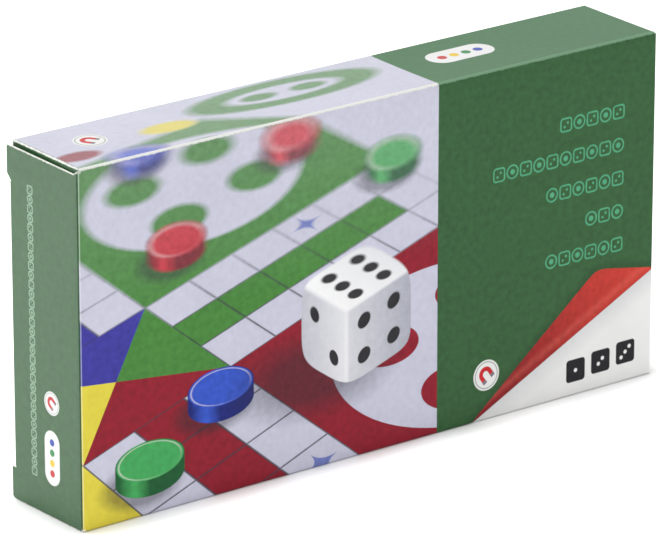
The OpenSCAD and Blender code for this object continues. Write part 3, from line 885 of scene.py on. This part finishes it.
def end_print(u, v):
    """An end closure: one upright row of small signs, the round sign and the oval."""
    row = icon_rows(v, u, 117.2, 29.3, 3.38, 3.38, (31,))
    # Painted shade: the closure's green darkens towards its crease side, below u = 2.2.
    colour = lay(lay(GREEN_FIELD, PAINTED_CREASE_SHADE, cover(u - 2.2, 0.7) * 0.5), ink(140, 172, 144), row * 0.9)
    colour = magnet_sign(colour, u, v, (17.0, 41.9), 4.25, -55)
    return colour_oval(colour, u, v, (17.2, 21.9), 4.25, 9.95)


def plain_print(u, v):
    """Green all over for the bottom and the flaps, mixed a third to a half of the way with the painted crease
    shade, a little more where v is low.
    """
    return lay(GREEN_FIELD, PAINTED_CREASE_SHADE, cover(v, 0.001))


def back_print(u, v):
    """The back wall: the board seen flat from above, and rows of signs beside it."""
    cell = 6.6
    a, b = (185.0 - u) * (1 / cell), (v - 65.0) * (1 / cell)
    board = lay(DARK, ludo_board(a, b, 18.0), cover(a.size().most(b.size()) - 7.5, 18.0))
    field = lay(GREEN_FIELD, PALE, icon_rows(-u, v, -18.0, 109.0, 6.0, 12.5, (13, 9, 12, 7, 11, 5)))
    return lay(field, board, cover(a.size().most(b.size()) - 7.65, 18.0))


# %% [markdown]
# ## Printed, cut and bare board
#
# The print lies under a thin satin film, with the soft mottle of ink on paper. Along a fold a pale line is
# painted, partly worn board and partly painted highlight: white where the picture is, a fainter pale green on
# the solid green. Near the corners the board is worn white. The top rim of a closure is rubbed white. Where
# board is cut its white core shows, and its inside is greyer, with fibres and flecks, because it is made of
# waste paper.

# %% The parts that every material here shares
def split(tree, socket):
    """The three numbers of a vector, as fields."""
    parts = tree.nodes.new("ShaderNodeSeparateXYZ")
    tree.links.new(socket, parts.inputs[0])
    return [Field(output) for output in parts.outputs]


def noise(tree, scale, detail=2.0, stretch=(1, 1, 1)):
    """Soft noise around 0.5; scale is in waves per millimetre."""
    place = tree.nodes.new("ShaderNodeTexCoord")
    mapping = tree.nodes.new("ShaderNodeMapping")
    mapping.inputs["Scale"].default_value = stretch
    texture = tree.nodes.new("ShaderNodeTexNoise")
    texture.inputs["Scale"].default_value = scale * 1000
    texture.inputs["Detail"].default_value = detail
    tree.links.new(place.outputs["Object"], mapping.inputs["Vector"])
    tree.links.new(mapping.outputs[0], texture.inputs["Vector"])
    return Field(texture.outputs[0])


def finish_with(tree, shader, colour, roughness, height, depth):
    """Feeds colour, roughness and a bump whose height field 0 to 1 stands for depth millimetres."""
    feed(tree, colour, shader.inputs["Base Color"])
    feed(tree, roughness, shader.inputs["Roughness"])
    bump = tree.nodes.new("ShaderNodeBump")
    bump.inputs["Distance"].default_value = depth * 0.001
    feed(tree, height, bump.inputs["Height"])
    tree.links.new(bump.outputs[0], shader.inputs["Normal"])


def shaded(colour, amount):
    """A colour made lighter or darker by a field around 0, such as 0.05 for a twentieth lighter."""
    tree = amount.socket.id_data
    node = tree.nodes.new("ShaderNodeHueSaturation")
    feed(tree, amount + 1.0, node.inputs["Value"])
    feed(tree, colour, node.inputs["Color"])
    return Field(node.outputs[0])


# %% The printed side
# Pale colours for the fold lines, partly worn board and partly painted highlight; the white also serves the
# rubbed rim of a closure.
WORN_AND_LIT_WHITE, WORN_AND_LIT_GREEN = ink(236, 237, 232), ink(150, 190, 158)


def printed_board(name, draw, across=(), along=(), corners=(), gloss=0.2, white_until=-1000.0,
                  widths=(1.05, 0.75)):
    """The print drawn at print_place. Folds at v = across and u = along get a pale line over the two half
    widths, partly worn board and partly painted highlight, and corners (u, v) are worn more. The line is
    white up to u = white_until and pale green beyond. The mottle is weaker where the print is brighter."""
    material, tree, shader = new_material(name, 0.36, gloss)
    place = tree.nodes.new("ShaderNodeAttribute")
    place.attribute_name = "print_place"
    u, v, _ = split(tree, place.outputs["Vector"])
    colour = draw(u, v)
    grain, cloud = noise(tree, 0.4, 5.0), noise(tree, 0.05, 2.0)
    bright = tree.nodes.new("ShaderNodeRGBToBW")
    tree.links.new(colour.socket, bright.inputs[0])
    mottle = (grain - 0.5) * Field(bright.outputs[0]).math("MULTIPLY_ADD", -1.1, 0.85)
    colour = shaded(colour, mottle + (cloud - 0.5) * 0.14)
    ragged = noise(tree, 0.9, 4.0)
    fold_distance = None
    for field, lines, width in ((v, across, widths[0]), (u, along, widths[1])):
        for line in lines:
            distance = (field - line).size() - width
            fold_distance = distance if fold_distance is None else fold_distance.least(distance)
    roughness = grain.math("MULTIPLY_ADD", 0.1, 0.31)
    if fold_distance is not None:
        # The pale fold line is painted highlight as well as worn board, broken up by noise; rubbed corners
        # are wear.
        solid = cover(white_until - u, 4.0)
        wear_and_highlight = cover(fold_distance + ragged * 0.8, 2.2) * solid.math("MULTIPLY_ADD", -0.45, 1.0)
        worn_and_lit = lay(WORN_AND_LIT_WHITE, WORN_AND_LIT_GREEN, solid)
        for corner in corners:
            rubbed = reach(u - corner[0], v - corner[1]) + ragged * 4.0
            wear_and_highlight = wear_and_highlight.most(cover(rubbed - 3.0, 1.2) * 0.85)
        colour = lay(colour, worn_and_lit, wear_and_highlight)
        roughness = roughness + wear_and_highlight * 0.3
    finish_with(tree, shader, colour, roughness, grain, 0.02)
    return material


# %% The cut edge and the bare inside
def fibre_board(name, colour, fleck):
    """Uncoated board: cloudy, with short fibres and a few darker flecks."""
    roughness = 0.85
    material, tree, shader = new_material(name, roughness)
    fibre = noise(tree, 0.35, 4.0, (1, 1, 9))
    spots = cover(0.72 - noise(tree, 1.2, 2.0), 14.0)
    tone = shaded(colour, blend_sum(fibre - 0.5, 0.3, noise(tree, 0.03) - 0.5, 0.2, 0.0))
    finish_with(tree, shader, lay(tone, fleck, spots * 0.5), roughness, fibre, 0.04)
    return material


cut = fibre_board("cut_edge", ink(232, 232, 226), ink(200, 198, 190))
raw = fibre_board("bare_board", ink(202, 199, 188), ink(140, 134, 122))


def board_look(name, draw, *options):
    """The three materials of a piece of board: its print, its bare inside and its cut edge."""
    return [printed_board(name, draw, *options), raw, cut]


TOP_FOLD, BACK_FOLD, FOOT_FOLD = TOP_START - 0.55, TOP_START + 38.9, 0.4
LEFT_FOLD, RIGHT_FOLD, TUCK_FOLD = 0.95, 249.05, 40.7
ALL_WHITE = 1000.0
front_look = board_look(
    "front_board_print", front_print, (TOP_FOLD,), (), ((0, 130), (0, 0)), 0.12, PICTURE_EDGE)
top_look = board_look(
    "top_board_print", top_print, (TOP_FOLD, BACK_FOLD), (LEFT_FOLD, RIGHT_FOLD),
    ((1, 130), (1, 169)), 0.2, PICTURE_EDGE)
end_look = board_look("end_board_print", end_print, (CLOSURE_HIGH,), (), (), 0.5, ALL_WHITE, (0.66, 0.0))
back_look = board_look(
    "back_board_print", back_print, (TOP_FOLD, FOOT_FOLD), (), ((0, 130), (2 * HALF_LENGTH, 130)))
flap_look = board_look("flap_board_print", plain_print, (), (TUCK_FOLD,))
dust_fold_look = board_look(
    "dust_fold_print", plain_print, (), (LEFT_FOLD,), ((0.5, 169),), 0.2, PICTURE_EDGE)

# %% [markdown]
# ## What lies inside: the board case and its playing pieces
#
# These parts keep their CAD shapes, whose bevels, dishes and pips are already there, and only need finishes.
# Moulded plastic has a fine grain or a polished skin with faint clouds, drawn wire and tinplate have fine
# lines in the direction of rolling, and formed sheet is a little wavy.

# %% Moulded, formed and metal finishes
def moulded_plastic(name, colour, roughness, grain_size, grain_depth):
    """A moulded part: slow clouds from the flow of the plastic, and a grain of the given size in mm."""
    material, tree, shader = new_material(name, roughness)
    flow, grain = noise(tree, 0.06, 3.0), noise(tree, 1 / grain_size, 2.0)
    tone = shaded(colour, blend_sum(flow - 0.5, 0.25, grain - 0.5, 0.12, 0.0))
    rough = blend_sum(grain, 0.12, flow, 0.1, roughness - 0.11)
    finish_with(tree, shader, tone, rough, grain, grain_depth)
    return material


def rolled_metal(name, colour, roughness, stretch):
    """Bare metal with fine lines along X where stretch draws the noise out in that direction."""
    material, tree, shader = new_material(name, roughness)
    shader.inputs["Metallic"].default_value = 1.0
    lines, cloud = noise(tree, 1.5, 4.0, stretch), noise(tree, 0.04, 3.0)
    tone = shaded(colour, blend_sum(lines - 0.5, 0.3, cloud - 0.5, 0.2, 0.0))
    rough = blend_sum(lines, 0.2, cloud, 0.15, roughness - 0.17)
    finish_with(tree, shader, tone, rough, lines, 0.01)
    return material


def wear_finish(material, *names):
    """Gives CAD nodes this material, in every slot they have."""
    for name in names:
        for entry in nodes[name].material_slots:
            entry.link = "OBJECT"
            entry.material = material


case_plastic = moulded_plastic("case_grain_plastic", (0.024, 0.026, 0.03), 0.5, 0.5, 0.03)
tinplate = rolled_metal("tinplate", (0.52, 0.53, 0.54), 0.34, (0.04, 1, 1))
formed_sheet = moulded_plastic("formed_sheet", (0.74, 0.74, 0.71), 0.3, 6.0, 0.25)
wear_finish(case_plastic, "case_front_half", "case_back_half")
wear_finish(moulded_plastic("latch_plastic", (0.03, 0.032, 0.037), 0.42, 0.35, 0.02), "case_latch")
wear_finish(rolled_metal("drawn_steel_wire", (0.56, 0.57, 0.58), 0.3, (0.05, 1, 1)), "case_hinge_pin")
wear_finish(tinplate, "front_steel_plate", "back_steel_plate")
wear_finish(rolled_metal("nickel_plate", (0.6, 0.58, 0.54), 0.22, (1, 1, 1)), "counter_magnets")
wear_finish(formed_sheet, "front_piece_tray", "back_piece_tray")
for name, colour in (("red", (0.47, 0.018, 0.03)), ("yellow", (0.8, 0.6, 0.03)),
                     ("green", (0.03, 0.27, 0.09)), ("blue", (0.022, 0.055, 0.36))):
    wear_finish(moulded_plastic(name + "_counter_plastic", colour, 0.24, 1.2, 0.006), name + "_counters")
wear_finish(raw, "glue_flap")


# %% The die, with paint in its pips
def die_plastic():
    """White with black in the hollows. With a point's distances x, y and z from the middle sorted, as shares
    of half an edge, it is in a pip if the largest is below 0.985 and the second below 0.68."""
    material, tree, shader = new_material("die_plastic", 0.22)
    lowest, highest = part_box("die")
    middle, half = (lowest + highest) / 2, (highest - lowest).x / 2
    places = split(tree, tree.nodes.new("ShaderNodeTexCoord").outputs["Object"])
    x, y, z = ((place - centre).size() * (1 / half) for place, centre in zip(places, middle))
    largest, least = x.most(y).most(z), x.least(y).least(z)
    second = x + y + z - largest - least
    pip = cover(largest - 0.985, 60.0) * cover(second - 0.68, 60.0)
    tone = shaded((0.82, 0.82, 0.8), (noise(tree, 0.15, 3.0) - 0.5) * 0.12)
    grain = noise(tree, 0.8, 2.0)
    rough = grain.math("MULTIPLY_ADD", 0.12, 0.16)
    finish_with(tree, shader, lay(tone, (0.02, 0.02, 0.022), pip), rough, grain, 0.005)
    shader.inputs["Subsurface Weight"].default_value = 0.1
    shader.inputs["Subsurface Radius"].default_value = (0.002, 0.002, 0.002)
    return material


wear_finish(die_plastic(), "die")


# %% The play faces and the leaflet
CELL = 15.2
BOARD_MIDDLE = 6.9


def sheet_print(name, draw, roughness, gloss):
    """A print on a flat sheet, drawn from x and z of the CAD model in millimetres."""
    material, tree, shader = new_material(name, roughness, gloss)
    x, _, z = split(tree, tree.nodes.new("ShaderNodeTexCoord").outputs["Object"])
    grain = noise(tree, 1.4, 3.0)
    tone = shaded(draw(x * 1000.0, z * 1000.0), (grain - 0.5) * 0.12)
    finish_with(tree, shader, tone, grain.math("MULTIPLY_ADD", 0.12, roughness - 0.06), grain, 0.01)
    return material


def front_play_print(x, z):
    """The front half of the board: its rows run down to the middle of the board, at the foot of the case."""
    return ludo_board(x * (1 / CELL), (z - BOARD_MIDDLE) * (-1 / CELL), 90.0)


def back_play_print(x, z):
    """The back half of the board, on the other side of that middle."""
    return ludo_board(x * (1 / CELL), (z - BOARD_MIDDLE) * (1 / CELL), 90.0)


def leaflet_print(x, z):
    """A sheet of rules: grey rows of small signs in two columns on white paper."""
    left = icon_rows(x, z, -8.0, 92.0, 3.4, 6.2, (24, 26, 22, 26, 25, 12, 26, 24, 26, 20, 26, 8))
    right = icon_rows(x, z, 94.0, 92.0, 3.4, 6.2, (25, 22, 26, 24, 9, 26, 25, 26, 21, 26, 24, 14))
    return lay(ink(226, 226, 220), ink(96, 98, 104), left.most(right) * 0.8)


wear_finish(sheet_print("front_play_face", front_play_print, 0.3, 0.5), "front_play_sheet")
wear_finish(sheet_print("back_play_face", back_play_print, 0.3, 0.5), "back_play_sheet")
wear_finish(sheet_print("leaflet_paper_print", leaflet_print, 0.7, 0.2), "rules_leaflet")

# %% Build the carton
wall("front_wall", -1, 0.12, front_look, "front_panel")
wall("back_wall", 1, 0.12, back_look, "back_panel")
flat_panel("top_wall", HEIGHT, 1, 0.2, top_look, "top_panel")
flat_panel("bottom_wall", 0.0, -1, 0.1, flap_look, "bottom_panel")
for side_name, side, top in (("left", -1, (127.9, 128.6)), ("right", 1, (129.0, 128.9))):
    closure_crease(side_name, side, top, front_look)
    closure_panel(side_name, side, top, end_look)
    tuck_pieces(side_name, side, flap_look)
    dust_pieces(side_name, side, "top", TUCK_HIGH + SLIT, dust_fold_look, flap_look)
    dust_pieces(side_name, side, "bottom", LOWER_SHOULDER, dust_fold_look, flap_look)
